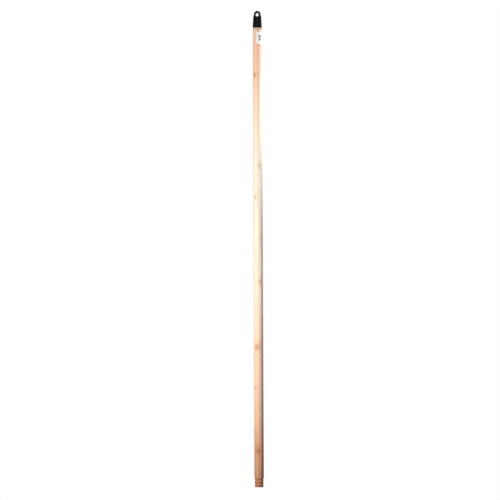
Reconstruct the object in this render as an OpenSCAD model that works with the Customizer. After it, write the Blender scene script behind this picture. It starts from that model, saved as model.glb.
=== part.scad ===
// Wooden extension pole for a paint roller.
//
// A pine pole is turned with a coarse screw thread at its lower end, which the
// roller frame screws onto, and is shaved to a cone at its upper end, where a
// moulded cap with a hanging hole is pushed on. A paper label is wrapped round
// the wood just below the cap.
//
// Millimetres. The origin is the centre of the threaded tip's end face. +Z runs
// up the pole to the cap, and the hanging hole runs through the cap along Y.

/* [Pole] */
// Length of the wood, from the tip's end face to the end inside the cap
pole_length = 1200; // [800:10:1800]
// Diameter of the straight part of the shaft
shaft_d = 24; // [23.5:0.1:26]
// Diameter of the shaft where it enters the cap
neck_d = 22.8; // [22.6:0.1:23]
// Length of the slight taper below the cap
taper_length = 480; // [100:10:600]

/* [Thread] */
// Length of the threaded tip, up to the shaft's shoulder
tip_length = 22; // [16:0.5:30]
// Outside diameter of the thread
thread_d = 23.2; // [21:0.1:23.4]
// Depth of the thread below its crest
thread_depth = 1.3; // [0.8:0.1:1.8]
// Rise of the thread in one turn
thread_pitch = 8; // [6:0.5:9]
// Width of the thread's flat crest
crest_width = 2.4; // [1.5:0.1:2.6]
// Width of the plain groove between the thread and the shoulder
relief_width = 2; // [1:0.5:3]
// Angle by which the thread is turned on the pole
thread_turn = 58; // [0:1:359]
// Chamfer on the first turn of the thread, at the tip's end face
tip_chamfer = 1.1; // [0.5:0.1:1.5]
// Chamfer on the edge of the shaft's shoulder
shoulder_chamfer = 0.4; // [0.2:0.1:0.6]

/* [Cap] */
// Height of the cap, from its rim to the top of its arch
cap_height = 43.5; // [42:0.5:50]
// Depth of the wood inside the cap
grip_depth = 24.5; // [20:0.5:24.5]
// Diameter of the cap's flared rim
rim_d = 24.4; // [24.3:0.1:25]
// Height of the flare above the rim
flare_height = 6; // [4:0.5:8]
// Thickness of the socket's wall above the flare
wall = 0.95; // [0.7:0.05:1.2]
// Diameter of the cap at its shoulder, above the socket
cap_shoulder_d = 21.2; // [21:0.1:22]
// Height of that shoulder above the rim
cap_shoulder_height = 26.6; // [26.6:0.1:28]
// Radius of the arch over the hanging hole
arch_r = 8.4; // [8:0.1:8.6]
// Thickness of the flat tab that holds the hanging hole
tab_thickness = 7.5; // [6:0.5:9]

/* [Hanging hole] */
// Radius of the hole's round lower part
hole_r = 3.8; // [3.7:0.1:4]
// Radius of the hole's narrow top
hole_top_r = 1; // [0.8:0.1:1.1]
// Distance between the centres of those two radii
hole_rise = 3.85; // [3.8:0.05:4.2]
// Height of the hole's lowest point above the rim
hole_bottom = 29.2; // [29.1:0.1:29.4]

/* [Label] */
// Height of the paper label
label_height = 32; // [20:1:60]
// Gap between the label's upper edge and the cap's rim
label_gap = 10; // [2:0.5:20]
// Angle from the front to the label's left edge
label_start = -12; // [-90:1:90]
// Width of the label, measured round the pole
label_width = 50; // [20:1:60]
// Thickness of the label
label_thickness = 0.2; // [0.15:0.05:0.3]

/* [Hidden] */

$fn = 96;
pine = "#e3b488";
black_plastic = "#16171a";
white_paper = "#f1f2f0";

// Gap between the end of the wood and the socket's floor
end_gap = 0.4;
// Chamfer on the end of the wood inside the cap
end_chamfer = 1;
// Slope of the shoulder that runs from the socket up to the tab
shoulder_rise = 1.4;
// How far a cutter runs past the surface that it cuts
past = 1;
// How far a straight side ends inside the arc that it would touch
inside = 0.02;
// Sides of the helical ridge in one turn
ridge_sides = 32;
// Spread of the ridge's two flanks together, for each millimetre of its depth
flank_spread = 1.6;
// Width of the ridge at its foot
ridge_foot = crest_width + flank_spread * thread_depth;
// How far the ridge is sunk into the core
sunk = 0.6;

rim_z = pole_length - grip_depth;
core_r = thread_d / 2 - thread_depth;
cap_shoulder_r = cap_shoulder_d / 2;
// How far the cap stands out from the neck of the shaft where the flare ends
collar_step = 0.15;
// Radius of the cap where the flare ends
collar_r = neck_d / 2 + collar_step;
// Radius of the wood where the flare ends, and at its end
grip_r = collar_r - wall;
end_r = cap_shoulder_r - wall;
// Step from the neck of the shaft down to the wood in the cap's mouth
mouth_step = 0.1;
mouth_r = neck_d / 2 - mouth_step;
// Chamfer on the edge of the cap's rim, and height of the plain band above it
lip_chamfer = 0.4;
lip_height = 1.3;
// Point on the hollow of the flare: radius beyond the collar, and height
flare_mid = [0.25, 3.2];
// Two points that round off the shoulder: how far the lower one is outside the
// shoulder and below it, and how far the upper one is inside
shoulder_low = [0.25, 6];
shoulder_in = 0.3;
// Height of the arch's centre above the rim
arch_z = cap_height - arch_r;

// Radius of the shaft at a height on its taper
function taper_r(z) =
    shaft_d / 2 + (neck_d - shaft_d) / 2 * (z - rim_z + taper_length) / taper_length;

// Points (radius, height) of the cone that the cap grips, from the mouth up to
// a height inside the socket
function grip_cone(top) = [
    [mouth_r, rim_z],
    [grip_r, rim_z + flare_height],
    [end_r, top]
];

// Ring number i of the ridge: two points at its foot and two at its crest
function ridge_ring(i) =
    let (
        a = 360 * i / ridge_sides,
        z = thread_pitch * i / ridge_sides,
        foot = core_r - sunk,
        crest = thread_d / 2
    ) [
        [foot * cos(a), foot * sin(a), z - ridge_foot / 2],
        [crest * cos(a), crest * sin(a), z - crest_width / 2],
        [crest * cos(a), crest * sin(a), z + crest_width / 2],
        [foot * cos(a), foot * sin(a), z + ridge_foot / 2]
    ];

// Right-handed helical ridge that starts a turn below the end face
module ridge(turns) {
    last = ridge_sides * turns;
    points = [for (i = [0 : last]) each ridge_ring(i)];
    sides = [
        for (i = [0 : last - 1], k = [0 : 3])
            let (a = 4 * i + k, b = 4 * i + (k + 1) % 4)
            each [[a, a + 4, b], [b, a + 4, b + 4]]
    ];
    ends = [[0, 1, 2, 3], [4 * last + 3, 4 * last + 2, 4 * last + 1, 4 * last]];
    rotate([0, 0, -thread_turn])
        translate([0, 0, -thread_pitch])
            polyhedron(points, concat(sides, ends));
}

// The thread, trimmed to its length and chamfered at the end face
module threaded_tip() {
    thread_top = tip_length - relief_width;
    turns = ceil(tip_length / thread_pitch) + 2;
    cylinder(h = tip_length + past, r = core_r);
    intersection() {
        ridge(turns);
        rotate_extrude() polygon([
            [0, 0],
            [thread_d / 2 - tip_chamfer, 0],
            [thread_d / 2 + past, tip_chamfer + past],
            [thread_d / 2 + past, thread_top],
            [0, thread_top]
        ]);
    }
}

module wood_pole() {
    color(pine) {
        rotate_extrude() polygon(concat(
            [
                [0, tip_length],
                [shaft_d / 2 - shoulder_chamfer, tip_length],
                [shaft_d / 2, tip_length + shoulder_chamfer],
                [shaft_d / 2, rim_z - taper_length],
                [neck_d / 2, rim_z]
            ],
            grip_cone(pole_length - end_chamfer),
            [
                [end_r - end_chamfer, pole_length],
                [0, pole_length]
            ]
        ));
        threaded_tip();
    }
}

// Half outline of the cap seen from the front: a flared cup under an arch
module cap_outline() {
    side = atan((cap_shoulder_r - arch_r) / (arch_z - cap_shoulder_height));
    union() {
        polygon([
            [0, 0],
            [rim_d / 2 - lip_chamfer, 0],
            [rim_d / 2, lip_chamfer],
            [rim_d / 2, lip_height],
            [collar_r + flare_mid[0], flare_mid[1]],
            [collar_r, flare_height],
            [cap_shoulder_r + shoulder_low[0], cap_shoulder_height - shoulder_low[1]],
            [cap_shoulder_r - shoulder_in, cap_shoulder_height],
            [arch_r * cos(side), arch_z + arch_r * sin(side)],
            [0, arch_z]
        ]);
        intersection() {
            translate([0, arch_z]) circle(arch_r);
            translate([0, arch_z]) square(arch_r + past);
        }
    }
}

// Space in front of the tab, above the sloping shoulder
module tab_cutter() {
    rotate([90, 0, 90]) linear_extrude(2 * rim_d, center = true) polygon([
        [tab_thickness / 2, cap_shoulder_height + shoulder_rise],
        [rim_d, cap_shoulder_height - shoulder_rise],
        [rim_d, cap_height + past],
        [tab_thickness / 2, cap_height + past]
    ]);
}

// The hanging hole, round below and drawn in to a narrow top. Its straight
// sides end just inside the two arcs, so that they cross them cleanly.
module hole_shape() {
    lean = asin((hole_r - hole_top_r) / hole_rise);
    low = (hole_r - inside) * [cos(lean), sin(lean)];
    high = (hole_top_r - inside) * [cos(lean), sin(lean)] + [0, hole_rise];
    circle(hole_r);
    translate([0, hole_rise]) circle(hole_top_r);
    polygon([low, high, [-high.x, high.y], [-low.x, low.y]]);
}

module hang_cap() {
    color(black_plastic) difference() {
        translate([0, 0, rim_z]) difference() {
            rotate_extrude() cap_outline();
            tab_cutter();
            mirror([0, 1, 0]) tab_cutter();
            translate([0, 0, hole_bottom + hole_r])
                rotate([90, 0, 0])
                    linear_extrude(2 * rim_d, center = true) hole_shape();
        }
        rotate_extrude() polygon(concat(
            [[0, rim_z - past], [mouth_r, rim_z - past]],
            grip_cone(pole_length - end_chamfer),
            [[end_r, pole_length + end_gap], [0, pole_length + end_gap]]
        ));
    }
}

module paper_label() {
    top = rim_z - label_gap;
    bottom = top - label_height;
    angle = 360 * label_width / (PI * neck_d);
    color(white_paper) rotate([0, 0, label_start - 90]) rotate_extrude(angle = angle) polygon([
        [taper_r(bottom), bottom],
        [taper_r(bottom) + label_thickness, bottom],
        [taper_r(top) + label_thickness, top],
        [taper_r(top), top]
    ]);
}

wood_pole();
hang_cap();
paper_label();
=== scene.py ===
"""Looks of a wooden extension pole for a paint roller.

Three pieces replace the three CAD nodes: the turned pine pole with its coarse
thread, the moulded black cap with its hanging hole, and the paper label wrapped
round the wood below the cap. The pieces' sizes are in millimetres, and MM turns
them into metres for a mesh or a material.
"""

import math

import bpy
import numpy as np
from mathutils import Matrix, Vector, noise

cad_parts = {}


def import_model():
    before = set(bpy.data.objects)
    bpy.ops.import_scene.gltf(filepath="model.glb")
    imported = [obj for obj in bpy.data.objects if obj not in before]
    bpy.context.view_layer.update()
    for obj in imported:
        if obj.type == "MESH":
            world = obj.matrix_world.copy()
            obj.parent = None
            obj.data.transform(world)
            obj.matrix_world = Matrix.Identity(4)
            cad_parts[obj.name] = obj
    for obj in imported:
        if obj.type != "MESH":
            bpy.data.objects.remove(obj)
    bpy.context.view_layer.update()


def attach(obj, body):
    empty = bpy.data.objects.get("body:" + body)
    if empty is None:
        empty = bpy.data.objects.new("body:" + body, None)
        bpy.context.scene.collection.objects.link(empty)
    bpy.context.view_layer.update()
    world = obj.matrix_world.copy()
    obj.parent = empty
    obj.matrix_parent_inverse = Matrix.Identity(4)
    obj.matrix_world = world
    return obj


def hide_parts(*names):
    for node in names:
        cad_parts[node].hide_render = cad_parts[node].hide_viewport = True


MM = 0.001

# Driving sizes of the pole, as in the CAD model
POLE_LENGTH = 1200.0
SHAFT_R = 12.0
NECK_R = 11.4
TAPER_LENGTH = 480.0
GRIP_DEPTH = 24.5
RIM_Z = POLE_LENGTH - GRIP_DEPTH

# Threaded tip
TIP_LENGTH = 22.0
THREAD_R = 11.6
THREAD_DEPTH = 1.3
THREAD_PITCH = 8.0
THREAD_TURN = 58.0
RELIEF_WIDTH = 2.0
THREAD_TOP = TIP_LENGTH - RELIEF_WIDTH
CREST_HALF = 1.2
FLANK_WIDTH = 1.0
TIP_CHAMFER = 1.1
CORE_R = THREAD_R - THREAD_DEPTH

# Height over which the thread's ridge runs out into the plain groove
RUN_OUT = 0.8
# Worn lower edge of the tip's core: how far it is worn in at the end face, and how
# fast the radius grows back with height
EDGE_WEAR = 0.5
EDGE_SLOPE = 1.6
# Chipping left by turning, as noise on a circle round the tip: radius of the circle,
# noise features in each millimetre of height, depth of the coarse and of the fine
# chips, how many times finer those are, and height above which the chipping is full
CHIP_CIRCLE = 6.0
CHIPS_UP = 0.9
COARSE_CHIP = 0.07
FINE_CHIP = 0.04
FINER = 3.1
FULL_CHIPPING = 1.5
# Painted shade in the thread's grooves, which lie in shade: how far below the crest
# it starts, how far above the core it is full, and how far past the tip it ends
GROOVE_START = 0.2
GROOVE_FULL = 0.3
GROOVE_PAST = 0.2

# Flat ring on the shaft's shoulder beside the core, and the shoulder's rounded
# edge: how far inside the shaft, and how high above the shoulder
SHOULDER_FLAT = 0.9
SHOULDER_EDGE = [(0.45, 0.0), (0.2, 0.06), (0.06, 0.2), (0.0, 0.45)]

# Cap, with heights above its rim
CAP_HEIGHT = 43.5
RIM_R = 12.2
LIP_CHAMFER = 0.3
LIP_HEIGHT = 1.3
COLLAR_STEP = 0.15
COLLAR_R = NECK_R + COLLAR_STEP
FLARE_HEIGHT = 6.0
WALL = 0.95
CAP_SHOULDER_R = 10.6
CAP_SHOULDER_HEIGHT = 26.6
SHOULDER_RISE = 1.4
ARCH_R = 8.4
ARCH_Z = CAP_HEIGHT - ARCH_R
TAB_HALF = 3.75
HOLE_R = 3.8
HOLE_TOP_R = 1.0
HOLE_RISE = 3.85
HOLE_BOTTOM = 29.2
HOLE_Z = HOLE_BOTTOM + HOLE_R

# Points that round off the cap's outline. Above the lip: how far inside the rim, and
# height. On the flare's hollow: how far outside the collar, and height. Below the
# shoulder: how far outside it, and how far below it. At the shoulder: how far inside it
ABOVE_LIP = (0.12, 2.0)
FLARE_CURVE = [(0.25, 3.2), (0.08, 4.5), (0.0, FLARE_HEIGHT)]
SHOULDER_LOW = (0.25, 6.0)
SHOULDER_IN = 0.3

# Softness of the cap's edges: where the shoulder meets the tab, round the tab,
# round the hanging hole, and round the mouth of the socket
TAB_HOLLOW = 2.0
TAB_EDGE = 1.3
HOLE_EDGE = 0.6
MOUTH_EDGE = 0.25

# Cone of wood that the cap grips: step in from the neck at the cap's mouth, height
# of the first ring above that step, radii at the mouth, at the top of the flare and
# at the end of the wood, chamfer on that end, and gap between it and the cap
MOUTH_STEP = 0.1
MOUTH_RISE = 0.05
MOUTH_R = NECK_R - MOUTH_STEP
GRIP_R = COLLAR_R - WALL
GRIP_TOP_R = CAP_SHOULDER_R - WALL
END_CHAMFER = 1.0
END_GAP = 0.4

# Label, which starts to the left of the front and runs round to the right
LABEL_GAP = 10.0
LABEL_TOP = RIM_Z - LABEL_GAP
LABEL_HEIGHT = 32.0
LABEL_BOTTOM = LABEL_TOP - LABEL_HEIGHT
LABEL_WIDTH = 50.0
LABEL_START = -12.0
LABEL_THICKNESS = 0.2
LABEL_CORNER = 3.0
# Gap under the glued paper
PAPER_GAP = 0.02
# Paper that has come loose at the end and at one corner: how much of it, and how high
LOOSE_END = (4.0, 0.22)
LOOSE_CORNER = (3.5, 0.25)

# Fineness of the meshes: sides of the wood, rings on its end face as parts of the
# radius, spacing of its rings on the thread and on the shaft, height of the first
# ring above the shoulder, cells of the cap, and parts of the label round and up it
WOOD_SIDES = 144
END_RINGS = (0.35, 0.7, 0.93)
THREAD_STEP = 0.25
SHAFT_STEP = 9.0
FIRST_SHAFT_RING = 1.2
CAP_CELL = 0.5
LABEL_ALONG = 120
LABEL_UP = 24

# Parts of the arcs over the cap, at the top of its hole and round the rest of the hole
ARCH_PARTS = 24
HOLE_TOP_PARTS = 16
HOLE_PARTS = 40

# Room round the cap in the grid that its mesh is made on, and room below it
CAP_MARGIN = 1.1
CAP_MARGIN_BELOW = 1.05

# Knots and dark marks on the wood: height, degrees to the right of the front, radius, strength
KNOTS_AND_DARK_MARKS = [
    # The first two are dark marks just under the cap's rim and just under the label's lower
    # edge, drawn like knots
    (1169, 8, 2.4, 0.22),
    (1131, 8, 2.2, 0.26),
    (1054, -36, 4.4, 0.60),
    (822, 20, 3.6, 0.50),
    (741, -35, 4.0, 0.45),
    (525, 18, 3.8, 0.60),
    (358, -21, 6.5, 0.60),
    (253, -38, 4.4, 0.35),
    (106, -18, 3.4, 0.45),
    (93, -8, 5.4, 1.0),
    (930, 160, 4.5, 0.8),
    (640, 205, 4.0, 0.7),
    (430, 130, 3.6, 0.6),
    (170, 185, 4.6, 0.9),
]
# Width of a knot as a part of its length up the pole
KNOT_ASPECT = 0.62
# Distances from a knot's centre, in radii, where its heart and its swirl start and are full
HEART_FADE = (1.35, 0.1)
SWIRL_FADE = (3.2, 0.5)

# Colours of the wood from the tip (0) to the cap (1), partly its own tone and partly
# painted light: paler in the middle, where the light is brightest, and browner towards
# the tip, where it falls off
WOOD_TONES_AND_PAINTED_LIGHT = [
    (0.00, (0.54, 0.25, 0.13)),
    (0.06, (0.62, 0.31, 0.175)),
    (0.12, (0.77, 0.46, 0.30)),
    (0.19, (0.86, 0.565, 0.40)),
    (0.26, (0.88, 0.59, 0.43)),
    (0.32, (0.88, 0.64, 0.48)),
    (0.40, (0.88, 0.73, 0.59)),
    (0.60, (0.87, 0.76, 0.62)),
    (0.72, (0.87, 0.76, 0.64)),
    (0.78, (0.86, 0.74, 0.58)),
    (0.83, (0.87, 0.69, 0.52)),
    (0.90, (0.88, 0.56, 0.41)),
    (0.94, (0.88, 0.54, 0.40)),
    (0.98, (0.79, 0.58, 0.47)),
]
# How far soft patches shift those colours up or down, as a part of the length
PATCH_SHIFT = 0.12
KNOT_RED = (0.42, 0.17, 0.085)
KNOT_BROWN = (0.25, 0.095, 0.045)

# Tints that darken the wood in its growth rings, in its fibres and round its knots,
# and painted shade in the grooves of its thread, and how much of the first three shows
LATE_WOOD_TINT = (0.78, 0.58, 0.42)
FIBRE_TINT = (0.80, 0.66, 0.52)
SWIRL_TINT = (0.92, 0.76, 0.52)
GROOVE_SHADE_TINT = (0.74, 0.60, 0.50)
LATE_WOOD_AMOUNT = 0.38
FIBRE_AMOUNT = 0.28
SWIRL_AMOUNT = 0.5

# Growth rings, in metres: centre of the tree beside the pole, spacing of the rings,
# and how far slow drift and the knots push them aside
PITH = (-0.021, 0.034, 0.0)
RING_SPACING = 0.0024
RING_DRIFT = 0.009
RING_PUSH = 0.0035
# Parts of a ring over which its dark late wood comes up and then stops
LATE_WOOD_RISE = (0.35, 0.92)
LATE_WOOD_STOP = (1.0, 0.93)

# Noises of the materials: number of features in each metre along X, Y and Z
FIBRES = (900, 900, 14)
PATCHES = (60, 60, 5.5)
DRIFT = (9, 9, 2.2)
PLASTIC_GRAIN = (2600, 2600, 2600)
SCUFFS = (240, 240, 60)
PAPER_GRAIN = (1500, 1500, 1500)
FLOOR_SPECKLE = (40, 40, 40)

# Roughness of each surface, at its smoothest and at its roughest
PINE_ROUGHNESS = (0.50, 0.68)
PLASTIC_ROUGHNESS = (0.32, 0.44)
PAPER_ROUGHNESS = (0.42, 0.55)
FLOOR_ROUGHNESS = (0.75, 0.85)

# Black plastic and its scuffs
BLACK = (0.003, 0.004, 0.0065)
SCUFFED_BLACK = (0.0075, 0.0085, 0.012)

# Label's paper and its fibres, the cream tint near its starting edge, and its ink
PAPER_WHITE = (0.93, 0.93, 0.91)
PAPER_FIBRE = (0.88, 0.88, 0.86)
EDGE_CREAM = (0.84, 0.82, 0.67)
INK_GREY = (0.06, 0.063, 0.06)
INK_COVER = 0.86
# The cream tint fades in from the first of these distances from the front to the second
CREAM_FADE = (4.5, -2.0)

# Printed blocks, in millimetres round from the front and up the label: centre round,
# centre up, half width, half height, softness of the edge, strength of the ink
PRINTED_BLOCKS = [
    (7.4, 15.6, 4.8, 8.2, 1.8, 0.78),
    (7.4, 19.6, 3.8, 3.4, 1.6, 1.0),
    (7.0, 11.4, 3.8, 3.2, 1.6, 1.0),
    (28.0, 16.0, 6.0, 9.0, 0.6, 0.35),
]

# Softboxes, in metres: name, place, target, size, power in watts, spread in degrees
SOFTBOXES = [
    ("key", (-0.8, -1.05, 0.5), (0, 0, 0.54), (0.3, 0.5), 20.0, 180),
    ("top", (-0.2, -0.85, 1.3), (0, 0, 1.0), (0.25, 0.25), 1.4, 180),
    ("fill", (0.8, 0.14, 1.05), (0, 0, 1.03), (0.15, 0.15), 0.95, 50),
    ("low_fill", (0.85, -0.45, 0.62), (0, 0, 0.6), (0.2, 0.2), 0.22, 60),
    ("back", (0.1, 1.3, 0.6), (0, 0, 0.6), (0.3, 0.6), 9.0, 180),
]
# Strength of the even light from the surroundings
AMBIENT = 0.175

# Floor, in metres, and the strength of its own glow
FLOOR_HALF = 7.0
FLOOR_Z = -0.45
FLOOR_GLOW = 0.92

# Camera: place in metres, tilt from straight down and roll in degrees, and focal
# length and width of the sensor in millimetres
CAMERA_PLACE = (-0.0217, -9.0, 0.42)
CAMERA_TILT = 91.185
CAMERA_ROLL = 0.236
CAMERA_LENS = 253.3
CAMERA_SENSOR = 36.0


# ---------------------------------------------------------------- mesh helpers


def make_piece(name, points, faces, material, node):
    """Makes a smooth-shaded mesh from points in millimetres, in place of a CAD node."""
    mesh = bpy.data.meshes.new(name)
    mesh.from_pydata([[c * MM for c in p] for p in points], [], faces)
    mesh.update()
    mesh.shade_smooth()
    mesh.materials.append(material)
    piece = bpy.data.objects.new(name, mesh)
    bpy.context.scene.collection.objects.link(piece)
    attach(piece, "root")
    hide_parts(node)


def smooth_step(t):
    """Soft rise from 0 to 1 as t goes from 0 to 1."""
    t = min(max(t, 0.0), 1.0)
    return t * t * (3 - 2 * t)


def steps(start, end, size):
    """Evenly spaced values from start up to, but not including, end."""
    count = max(1, round((end - start) / size))
    return [start + (end - start) * i / count for i in range(count)]


def round_point(r, degrees, z):
    """Point at a distance from the pole's axis, an angle round it and a height."""
    angle = math.radians(degrees)
    return (r * math.cos(angle), r * math.sin(angle), z)


def arc(centre, radius, start, end, count):
    """Points on an arc in a plane, from a start angle to an end angle in degrees."""
    cx, cy = centre
    turn = [math.radians(start + (end - start) * i / count) for i in range(count + 1)]
    return [(cx + radius * math.cos(t), cy + radius * math.sin(t)) for t in turn]


def mirrored(right):
    """The same points on the other side of the axis, in reverse order."""
    return [(-r, z) for r, z in reversed(right)]


def lathe_faces(rows, sides):
    """Quads between rings of points, with a fan at each end round a centre point."""
    last = 1 + rows * sides
    top = last - sides
    faces = []
    for k in range(sides):
        after = (k + 1) % sides
        faces.append((0, 1 + after, 1 + k))
        for j in range(rows - 1):
            a = 1 + j * sides
            b = a + sides
            faces.append((a + k, a + after, b + after, b + k))
        faces.append((last, top + k, top + after))
    return faces


# ------------------------------------------------------------------- the wood


def taper_r(z):
    """Radius of the shaft at a height."""
    along = max(0.0, z - RIM_Z + TAPER_LENGTH) / TAPER_LENGTH
    return SHAFT_R + (NECK_R - SHAFT_R) * along


def thread_r(z, angle):
    """Radius of the threaded tip, with soft crests and hollows."""
    crest = THREAD_PITCH * (angle + THREAD_TURN) / 360
    off = (z - crest + THREAD_PITCH / 2) % THREAD_PITCH - THREAD_PITCH / 2
    ridge = smooth_step((CREST_HALF + FLANK_WIDTH - abs(off)) / FLANK_WIDTH)
    ridge *= smooth_step((THREAD_TOP + RUN_OUT / 2 - z) / RUN_OUT)
    r = CORE_R + THREAD_DEPTH * ridge
    chamfer = THREAD_R - TIP_CHAMFER + z
    worn_edge = CORE_R - EDGE_WEAR + EDGE_SLOPE * z
    return min(r, chamfer, worn_edge)


def chipping(z, angle):
    """Small roughness that turning leaves on the thread across the grain."""
    at = Vector(round_point(CHIP_CIRCLE, angle, z * CHIPS_UP))
    return COARSE_CHIP * noise.noise(at) + FINE_CHIP * noise.noise(at * FINER)


def rough_thread_r(z, angle):
    """Radius of the threaded tip with its chipping, which fades in from the end face."""
    return thread_r(z, angle) + chipping(z, angle) * smooth_step(z / FULL_CHIPPING)


def wood_rows():
    """Heights of the rings of points, each with its radius or a function that gives it."""
    rows = [(0.0, (CORE_R - EDGE_WEAR) * part) for part in END_RINGS]
    rows += [(z, rough_thread_r) for z in steps(0, TIP_LENGTH, THREAD_STEP)]
    rows += [(TIP_LENGTH, CORE_R), (TIP_LENGTH, CORE_R + SHOULDER_FLAT)]
    rows += [(TIP_LENGTH + rise, SHAFT_R - inside) for inside, rise in SHOULDER_EDGE]
    heights = steps(TIP_LENGTH + FIRST_SHAFT_RING, RIM_Z, SHAFT_STEP) + [RIM_Z]
    rows += [(z, taper_r(z)) for z in heights]
    rows += [
        (RIM_Z + MOUTH_RISE, MOUTH_R),
        (RIM_Z + FLARE_HEIGHT, GRIP_R),
        (POLE_LENGTH - END_CHAMFER, GRIP_TOP_R),
        (POLE_LENGTH, GRIP_TOP_R - END_CHAMFER),
    ]
    return rows


def make_wood(material):
    """The whole pole as one lathed mesh, from the tip's end face to the end in the cap."""
    rows = wood_rows()
    points = [(0, 0, 0)]
    for z, radius in rows:
        for k in range(WOOD_SIDES):
            angle = 360 * k / WOOD_SIDES
            r = radius(z, angle) if callable(radius) else radius
            points.append(round_point(r, angle, z))
    points.append((0, 0, POLE_LENGTH))
    faces = lathe_faces(len(rows), WOOD_SIDES)
    make_piece("turned_pole", points, faces, material, "wood_pole")


# -------------------------------------------------------------------- the cap


def soft_max(a, b, width):
    """The larger of two fields, with the edge between them rounded off."""
    return np.maximum(a, b) + np.maximum(width - np.abs(a - b), 0) ** 2 / (4 * width)


def soft_min(a, b, width):
    """The smaller of two fields, with the hollow between them rounded out."""
    return -soft_max(-a, -b, width)


def polygon_distance(u, v, corners):
    """Signed distance from points to a closed outline, negative inside it."""
    nearest = np.full(u.shape, np.inf)
    inside = np.zeros(u.shape, bool)
    for (ax, ay), (bx, by) in zip(corners, corners[1:] + corners[:1]):
        ex = bx - ax
        ey = by - ay
        t = np.clip(((u - ax) * ex + (v - ay) * ey) / (ex * ex + ey * ey), 0, 1)
        nearest = np.minimum(nearest, (u - ax - t * ex) ** 2 + (v - ay - t * ey) ** 2)
        if ay != by:
            crosses = (ay > v) != (by > v)
            inside ^= crosses & (u < ax + (v - ay) * ex / ey)
    return np.where(inside, -1, 1) * np.sqrt(nearest)


def cap_outline():
    """Outline of the turned shape, as radius and height, mirrored at the axis."""
    lean = math.degrees(math.atan((CAP_SHOULDER_R - ARCH_R) / (ARCH_Z - CAP_SHOULDER_HEIGHT)))
    lip = [
        (RIM_R - LIP_CHAMFER, 0.0),
        (RIM_R, LIP_CHAMFER),
        (RIM_R, LIP_HEIGHT),
        (RIM_R - ABOVE_LIP[0], ABOVE_LIP[1]),
    ]
    flare = [(COLLAR_R + out, z) for out, z in FLARE_CURVE]
    shoulder = [
        (CAP_SHOULDER_R + SHOULDER_LOW[0], CAP_SHOULDER_HEIGHT - SHOULDER_LOW[1]),
        (CAP_SHOULDER_R - SHOULDER_IN, CAP_SHOULDER_HEIGHT),
    ]
    right = lip + flare + shoulder + arc((0, ARCH_Z), ARCH_R, lean, 90, ARCH_PARTS)
    return right + mirrored(right[:-1])


def socket_outline():
    """Outline of the socket, which starts below the rim so that it cuts the cap open."""
    below_rim = -2.0
    right = [
        (MOUTH_R, below_rim),
        (MOUTH_R, 0.0),
        (GRIP_R, FLARE_HEIGHT),
        (GRIP_TOP_R, GRIP_DEPTH - END_CHAMFER),
        (GRIP_TOP_R, GRIP_DEPTH + END_GAP),
    ]
    return right + mirrored(right)


def hole_outline():
    """Outline of the hanging hole: round below and drawn in to a narrow top."""
    lean = math.degrees(math.asin((HOLE_R - HOLE_TOP_R) / HOLE_RISE))
    top = arc((0, HOLE_Z + HOLE_RISE), HOLE_TOP_R, lean, 180 - lean, HOLE_TOP_PARTS)
    return top + arc((0, HOLE_Z), HOLE_R, 180 - lean, 360 + lean, HOLE_PARTS)


def cap_field(p):
    """Signed distance to the cap's surface, with every edge softly rounded."""
    x = p[..., 0]
    y = p[..., 1]
    z = p[..., 2]
    r = np.hypot(x, y)
    body = polygon_distance(r, z, cap_outline())
    slope = 2 * SHOULDER_RISE / (2 * RIM_R - TAB_HALF)
    shoulder = z - CAP_SHOULDER_HEIGHT - SHOULDER_RISE + slope * (np.abs(y) - TAB_HALF)
    tab = soft_min(np.abs(y) - TAB_HALF, shoulder, TAB_HOLLOW)
    body = soft_max(body, tab, TAB_EDGE)
    body = soft_max(body, -polygon_distance(x, z, hole_outline()), HOLE_EDGE)
    return soft_max(body, -polygon_distance(r, z, socket_outline()), MOUTH_EDGE)


def crossing_faces(inside, cell):
    """Quads round each grid edge that crosses the surface."""
    unit = np.eye(3, dtype=int)
    faces = []
    for axis in range(3):
        low = [slice(None)] * 3
        high = [slice(None)] * 3
        low[axis] = slice(None, -1)
        high[axis] = slice(1, None)
        before = inside[tuple(low)]
        after = inside[tuple(high)]
        at = np.argwhere(before != after)
        one = unit[(axis + 1) % 3]
        two = unit[(axis + 2) % 3]
        ring = [cell[tuple((at - shift).T)] for shift in (one + two, two, one * 0, one)]
        quads = np.stack(ring, 1)
        outward = before[tuple(at.T)]
        quads[~outward] = quads[~outward][:, ::-1]
        faces.append(quads)
    return np.concatenate(faces)


def field_gradient(field, p):
    """Slope of a field at points, from its values a small step to each side."""
    step = 0.02
    shifts = np.eye(3) * step
    return np.stack([(field(p + s) - field(p - s)) / (2 * step) for s in shifts], -1)


def pull_to_surface(field, p, rounds):
    """Moves points along the slope of a field to where the field is zero."""
    least_slope = 0.2
    for _ in range(rounds):
        g = field_gradient(field, p)
        p = p - (field(p) / np.maximum((g * g).sum(-1), least_slope))[:, None] * g
    return p


def spread_evenly(points, quads):
    """Moves each point halfway to the middle of its neighbours."""
    total = np.zeros_like(points)
    count = np.zeros(len(points))
    for k in range(4):
        for other in (quads[:, k - 1], quads[:, (k + 1) % 4]):
            np.add.at(total, quads[:, k], points[other])
            np.add.at(count, quads[:, k], 1)
    return (points + total / count[:, None]) / 2


def corner_values(grid):
    """Values at the eight corners of every cell, as eight arrays."""
    ni, nj, nk = [size - 1 for size in grid.shape]
    return [grid[i:ni + i, j:nj + j, k:nk + k] for i, j, k in np.ndindex(2, 2, 2)]


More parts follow.
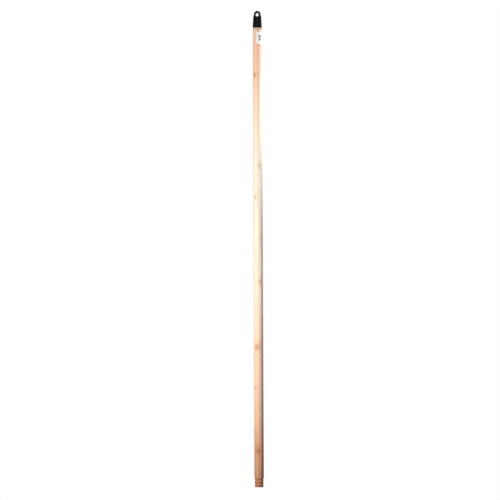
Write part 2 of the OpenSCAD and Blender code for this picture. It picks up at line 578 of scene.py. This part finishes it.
def mesh_from_field(field, low, high, size):
    """Closed quad mesh of the surface where the field is zero."""
    first_pulls = 4
    smoothings = 3
    pulls = 2
    axes = [np.arange(a, b + size, size) for a, b in zip(low, high)]
    grid = np.stack(np.meshgrid(*axes, indexing="ij"), -1)
    inside = field(grid) < 0
    corners = corner_values(inside)
    crossed = np.logical_or.reduce(corners) & ~np.logical_and.reduce(corners)
    cell = np.full(crossed.shape, -1)
    cell[crossed] = np.arange(crossed.sum())
    points = np.array(low) + (np.argwhere(crossed) + 0.5) * size
    quads = crossing_faces(inside, cell)
    points = pull_to_surface(field, points, first_pulls)
    for _ in range(smoothings):
        points = pull_to_surface(field, spread_evenly(points, quads), pulls)
    return points, quads


def make_cap(material):
    """The cap as one mesh, made round its rim's centre and then lifted onto the pole."""
    side = RIM_R + CAP_MARGIN
    low = (-side, -side, -CAP_MARGIN_BELOW)
    high = (side, side, CAP_HEIGHT + CAP_MARGIN)
    points, quads = mesh_from_field(cap_field, low, high, CAP_CELL)
    points = (points + np.array((0, 0, RIM_Z))).tolist()
    make_piece("moulded_cap", points, quads.tolist(), material, "hang_cap")


# ------------------------------------------------------------------ the label


def label_lift(u, v):
    """Height that loose paper stands off, at u along the label and v up it."""
    end_length, end_height = LOOSE_END
    corner_length, corner_height = LOOSE_CORNER
    end = smooth_step((u - LABEL_WIDTH + end_length) / end_length)
    corner = smooth_step((corner_length - u) / corner_length)
    corner *= smooth_step((corner_length - v) / corner_length)
    return end_height * end + corner_height * corner


def label_point(u, v, above_wood):
    """Point at u along the label, v up it, and a distance above the wood."""
    angle = LABEL_START - 90 + 360 * u / (2 * math.pi * NECK_R)
    z = LABEL_BOTTOM + v
    return round_point(taper_r(z) + above_wood, angle, z)


def corner_cut(u):
    """How much a rounded corner takes off the label's height at a distance u along it."""
    from_end = min(u, LABEL_WIDTH - u)
    if from_end >= LABEL_CORNER:
        return 0.0
    return LABEL_CORNER - math.sqrt(LABEL_CORNER ** 2 - (LABEL_CORNER - from_end) ** 2)


def label_points():
    """Points of the label's inner side and then of its outer side, column by column."""
    points = []
    for thickness in (0.0, LABEL_THICKNESS - 2 * PAPER_GAP):
        for i in range(LABEL_ALONG + 1):
            u = LABEL_WIDTH * i / LABEL_ALONG
            cut = corner_cut(u)
            for j in range(LABEL_UP + 1):
                v = cut + (LABEL_HEIGHT - 2 * cut) * j / LABEL_UP
                points.append(label_point(u, v, PAPER_GAP + label_lift(u, v) + thickness))
    return points


def label_faces():
    """Quads of the label's two sides, and of the narrow edge that joins them."""
    column = LABEL_UP + 1
    outer = (LABEL_ALONG + 1) * column
    faces = []
    for i in range(LABEL_ALONG):
        for j in range(LABEL_UP):
            a = i * column + j
            b = a + column
            faces.append((a + 1, b + 1, b, a))
            faces.append((outer + a, outer + b, outer + b + 1, outer + a + 1))
    rim = [i * column for i in range(LABEL_ALONG)]
    rim += [LABEL_ALONG * column + j for j in range(LABEL_UP)]
    rim += [i * column + LABEL_UP for i in range(LABEL_ALONG, 0, -1)]
    rim += range(LABEL_UP, 0, -1)
    for a, b in zip(rim, rim[1:] + rim[:1]):
        faces.append((a, b, outer + b, outer + a))
    return faces


def make_label(material):
    """The label as a thin closed sheet with rounded corners."""
    make_piece("wrapped_label", label_points(), label_faces(), material, "paper_label")


# ------------------------------------------------------------------ materials


class Nodes:
    """Short way to add shader nodes to one material."""

    def __init__(self, name):
        self.material = bpy.data.materials.new(name)
        self.material.use_nodes = True
        self.tree = self.material.node_tree
        self.shader = self.tree.nodes["Principled BSDF"]
        self.place = self.add("ShaderNodeTexCoord").outputs["Object"]

    def add(self, kind, inputs=None, **settings):
        """Adds a node, with its settings and with a value or a link for each input."""
        made = self.tree.nodes.new(kind)
        for key, value in settings.items():
            setattr(made, key, value)
        for key, value in (inputs or {}).items():
            self.put(made.inputs[key], value)
        return made

    def put(self, socket, value):
        """Links a socket to another one, or sets its own value."""
        if isinstance(value, bpy.types.NodeSocket):
            self.tree.links.new(value, socket)
        else:
            socket.default_value = value

    def math(self, operation, a, b=0.0):
        """One calculation on numbers or sockets."""
        made = self.add("ShaderNodeMath", {0: a, 1: b}, operation=operation)
        return made.outputs[0]

    def vector(self, operation, a, b=(0, 0, 0)):
        """One calculation on vectors, which gives a number when it measures a length."""
        made = self.add("ShaderNodeVectorMath", {0: a, 1: b}, operation=operation)
        return made.outputs["Value" if operation == "LENGTH" else "Vector"]

    def noise(self, per_metre, detail, roughness=0.5):
        """Smooth noise, mostly from 0.3 to 0.7, with a number of features in each metre."""
        at = self.vector("MULTIPLY", self.place, per_metre)
        inputs = {"Vector": at, "Scale": 1.0, "Detail": detail, "Roughness": roughness}
        return self.add("ShaderNodeTexNoise", inputs).outputs["Fac"]

    def remap(self, value, start, end, low=0.0, high=1.0):
        """Soft change from low to high as a value goes from start to end."""
        inputs = {0: value, 1: start, 2: end, 3: low, 4: high}
        made = self.add("ShaderNodeMapRange", inputs, interpolation_type="SMOOTHSTEP")
        return made.outputs[0]

    def ramp(self, value, stops):
        """Colour that runs through stops, each a position and a colour."""
        made = self.add("ShaderNodeValToRGB", {0: value})
        ramp = made.color_ramp
        while len(ramp.elements) < len(stops):
            ramp.elements.new(0.5)
        for element, (position, colour) in zip(ramp.elements, stops):
            element.position = position
            element.color = (*colour, 1)
        return made.outputs["Color"]

    def mix(self, amount, a, b, blend="MIX"):
        """Mixes colour b into colour a, each a socket or three numbers."""
        made = self.add("ShaderNodeMix", data_type="RGBA", blend_type=blend)
        self.put(made.inputs["Factor"], amount)
        # The node's sockets 6 and 7 and its output 2 are the ones for colours
        for socket, colour in ((6, a), (7, b)):
            is_socket = isinstance(colour, bpy.types.NodeSocket)
            self.put(made.inputs[socket], colour if is_socket else (*colour, 1))
        return made.outputs[2]

    def tint(self, amount, colour, by):
        """Multiplies a colour by a tint, as far as the amount goes."""
        return self.mix(amount, colour, by, "MULTIPLY")

    def bump(self, height, strength, distance):
        """Gives the surface a fine relief, where a height of 1 is a distance in metres."""
        inputs = {"Height": height, "Strength": strength, "Distance": distance}
        self.put(self.shader.inputs["Normal"], self.add("ShaderNodeBump", inputs).outputs[0])


def knot_masks(n):
    """Two masks: the dark heart of each knot and dark mark, and the wider swirl round it."""
    hearts = 0.0
    swirls = 0.0
    for height, azimuth, radius, strength in KNOTS_AND_DARK_MARKS:
        centre = [c * MM for c in round_point(taper_r(height), azimuth - 90, height)]
        off = n.vector("SUBTRACT", n.place, centre)
        off = n.vector("MULTIPLY", off, (1, 1, KNOT_ASPECT))
        distance = n.math("DIVIDE", n.vector("LENGTH", off), radius * MM)
        hearts = n.math("MAXIMUM", hearts, n.remap(distance, *HEART_FADE, 0, strength))
        swirls = n.math("MAXIMUM", swirls, n.remap(distance, *SWIRL_FADE, 0, strength))
    return hearts, swirls


def growth_rings(n, swirls):
    """Saw-tooth from 0 to 1 across each growth ring, round a pith beside the pole."""
    flat = n.vector("MULTIPLY", n.vector("SUBTRACT", n.place, PITH), (1, 1, 0))
    drift = n.math("MULTIPLY", n.noise(DRIFT, detail=2), RING_DRIFT)
    push = n.math("MULTIPLY", swirls, RING_PUSH)
    pushed = n.math("ADD", n.vector("LENGTH", flat), n.math("ADD", drift, push))
    return n.math("FRACT", n.math("DIVIDE", pushed, RING_SPACING))


def painted_groove_shade(n, height):
    """Mask of painted shade at the root of the thread, where the grooves lie in shade."""
    out = n.vector("LENGTH", n.vector("MULTIPLY", n.place, (1, 1, 0)))
    deep = n.remap(out, (THREAD_R - GROOVE_START) * MM, (CORE_R + GROOVE_FULL) * MM)
    on_tip = n.math("LESS_THAN", height, (TIP_LENGTH + GROOVE_PAST) * MM)
    return n.math("MULTIPLY", deep, on_tip)


def wood_tone_and_painted_light(n, height):
    """Colour of the wood at a height, partly painted light, with soft patches that shift it up
    or down.
    """
    patches = n.math("SUBTRACT", n.noise(PATCHES, detail=2), 0.5)
    along = n.math("DIVIDE", height, POLE_LENGTH * MM)
    along = n.math("ADD", along, n.math("MULTIPLY", patches, PATCH_SHIFT))
    return n.ramp(along, WOOD_TONES_AND_PAINTED_LIGHT)


def pine():
    """Sanded pine: growth rings, fibres, knots, painted shade in the thread's grooves, and a
    tone that changes with height, partly painted light.
    """
    n = Nodes("sanded_pine")
    hearts, swirls = knot_masks(n)
    rings = growth_rings(n, swirls)
    late_stop = n.remap(rings, *LATE_WOOD_STOP)
    late_wood = n.math("MULTIPLY", n.remap(rings, *LATE_WOOD_RISE), late_stop)
    fibres = n.noise(FIBRES, detail=3, roughness=0.6)
    height = n.add("ShaderNodeSeparateXYZ", {0: n.place}).outputs["Z"]
    # Tone by height, partly painted light: paler in the middle, browner towards the tip
    colour = wood_tone_and_painted_light(n, height)
    colour = n.tint(n.math("MULTIPLY", late_wood, LATE_WOOD_AMOUNT), colour, LATE_WOOD_TINT)
    colour = n.tint(n.remap(fibres, 0.35, 0.7, 0, FIBRE_AMOUNT), colour, FIBRE_TINT)
    colour = n.tint(n.math("MULTIPLY", swirls, SWIRL_AMOUNT), colour, SWIRL_TINT)
    colour = n.mix(hearts, colour, n.ramp(rings, [(0.0, KNOT_RED), (1.0, KNOT_BROWN)]))
    # Painted shade: the wood is darkened in the thread's grooves, where shade falls
    colour = n.tint(painted_groove_shade(n, height), colour, GROOVE_SHADE_TINT)
    n.put(n.shader.inputs["Base Color"], colour)
    n.put(n.shader.inputs["Roughness"], n.remap(fibres, 0.2, 0.8, *PINE_ROUGHNESS))
    n.shader.inputs["Specular IOR Level"].default_value = 0.35
    relief = n.math("ADD", n.math("MULTIPLY", late_wood, 0.5), n.math("MULTIPLY", fibres, 0.7))
    n.bump(relief, strength=0.22, distance=0.0003)
    return n.material


def plastic():
    """Moulded black plastic with a fine satin texture and faint scuffs."""
    n = Nodes("moulded_black")
    grain = n.noise(PLASTIC_GRAIN, detail=2, roughness=0.6)
    scuffs = n.noise(SCUFFS, detail=3, roughness=0.65)
    colour = n.mix(n.remap(scuffs, 0.45, 0.75, 0, 0.6), BLACK, SCUFFED_BLACK)
    n.put(n.shader.inputs["Base Color"], colour)
    n.put(n.shader.inputs["Roughness"], n.remap(scuffs, 0.3, 0.75, *PLASTIC_ROUGHNESS))
    n.shader.inputs["Specular IOR Level"].default_value = 0.11
    relief = n.math("ADD", grain, n.math("MULTIPLY", scuffs, 0.6))
    n.bump(relief, strength=0.12, distance=0.00015)
    return n.material


def block_mask(n, across, up, block):
    """A soft-edged rectangle on the label, as strong as its ink."""
    centre_across, centre_up, half_width, half_height, soft, strength = block
    off_across = n.math("ABSOLUTE", n.math("SUBTRACT", across, centre_across))
    off_up = n.math("ABSOLUTE", n.math("SUBTRACT", up, centre_up))
    in_width = n.remap(off_across, half_width, half_width - soft)
    in_height = n.remap(off_up, half_height, half_height - soft)
    return n.math("MULTIPLY", n.math("MULTIPLY", in_width, in_height), strength)


def paper():
    """White coated paper with plain grey printed blocks and no lettering."""
    n = Nodes("printed_paper")
    place = n.add("ShaderNodeSeparateXYZ", {0: n.place})
    backward = n.math("MULTIPLY", place.outputs["Y"], -1.0)
    across = n.math("MULTIPLY", n.math("ARCTAN2", place.outputs["X"], backward), NECK_R)
    up = n.math("SUBTRACT", n.math("DIVIDE", place.outputs["Z"], MM), LABEL_BOTTOM)
    ink = 0.0
    for block in PRINTED_BLOCKS:
        ink = n.math("MAXIMUM", ink, block_mask(n, across, up, block))
    fibres = n.noise(PAPER_GRAIN, detail=3, roughness=0.7)
    sheet = n.mix(n.remap(fibres, 0.3, 0.7, 0, 0.5), PAPER_WHITE, PAPER_FIBRE)
    # The second mask keeps the cream tint off the label's far end, behind the pole
    cream = n.remap(across, *CREAM_FADE)
    cream = n.math("MULTIPLY", cream, n.math("GREATER_THAN", across, -NECK_R))
    sheet = n.mix(cream, sheet, EDGE_CREAM)
    colour = n.mix(n.math("MULTIPLY", ink, INK_COVER), sheet, INK_GREY)
    n.put(n.shader.inputs["Base Color"], colour)
    n.put(n.shader.inputs["Roughness"], n.remap(fibres, 0.3, 0.7, *PAPER_ROUGHNESS))
    n.bump(fibres, strength=0.1, distance=0.0001)
    return n.material


# ---------------------------------------------------------------------- stage


def floor_paint():
    """Pale, faintly speckled paint with a glow that makes it as white as the surroundings."""
    n = Nodes("pale_floor")
    speckle = n.noise(FLOOR_SPECKLE, detail=3, roughness=0.6)
    colour = n.mix(speckle, (0.90, 0.90, 0.90), (0.94, 0.94, 0.94))
    n.put(n.shader.inputs["Base Color"], colour)
    n.put(n.shader.inputs["Roughness"], n.remap(speckle, 0.3, 0.7, *FLOOR_ROUGHNESS))
    n.shader.inputs["Emission Color"].default_value = (1, 1, 1, 1)
    n.shader.inputs["Emission Strength"].default_value = FLOOR_GLOW
    return n.material


def pale_floor():
    """Plain floor, well below the pole. It neither lights the pole nor shows in its gloss."""
    signs = ((-1, -1), (1, -1), (1, 1), (-1, 1))
    corners = [(x * FLOOR_HALF, y * FLOOR_HALF, FLOOR_Z) for x, y in signs]
    mesh = bpy.data.meshes.new("floor")
    mesh.from_pydata(corners, [], [(0, 1, 2, 3)])
    mesh.materials.append(floor_paint())
    floor = bpy.data.objects.new("floor", mesh)
    bpy.context.scene.collection.objects.link(floor)
    floor.visible_diffuse = False
    floor.visible_glossy = False


def white_world():
    """White surroundings for the camera, and a dimmer even light on the pole."""
    world = bpy.data.worlds.new("studio")
    bpy.context.scene.world = world
    world.use_nodes = True
    nodes = world.node_tree.nodes
    links = world.node_tree.links
    background = nodes["Background"]
    background.inputs["Color"].default_value = (1, 1, 1, 1)
    seen = nodes.new("ShaderNodeLightPath").outputs["Is Camera Ray"]
    level = nodes.new("ShaderNodeMapRange")
    links.new(seen, level.inputs["Value"])
    level.inputs["To Min"].default_value = AMBIENT
    level.inputs["To Max"].default_value = 1.0
    links.new(level.outputs[0], background.inputs["Strength"])


def softbox(name, place, target, size, power, spread):
    """Rectangular light that is aimed at a target."""
    light = bpy.data.lights.new(name, "AREA")
    light.shape = "RECTANGLE"
    light.size, light.size_y = size
    light.energy = power
    light.spread = math.radians(spread)
    box = bpy.data.objects.new(name, light)
    box.location = place
    box.rotation_euler = (Vector(target) - Vector(place)).to_track_quat("-Z", "Y").to_euler()
    bpy.context.scene.collection.objects.link(box)


def make_camera():
    """Distant camera below the pole's middle, looking slightly up and rolled a little."""
    camera = bpy.data.cameras.new("camera")
    camera.sensor_width = CAMERA_SENSOR
    camera.lens = CAMERA_LENS
    holder = bpy.data.objects.new("camera", camera)
    holder.location = CAMERA_PLACE
    holder.rotation_euler = (math.radians(CAMERA_TILT), math.radians(CAMERA_ROLL), 0)
    bpy.context.scene.collection.objects.link(holder)
    bpy.context.scene.camera = holder


def main():
    """Loads the CAD frame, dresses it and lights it."""
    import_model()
    make_wood(pine())
    make_cap(plastic())
    make_label(paper())
    pale_floor()
    white_world()
    for settings in SOFTBOXES:
        softbox(*settings)
    make_camera()
    bpy.context.scene.view_settings.view_transform = "Standard"


main()
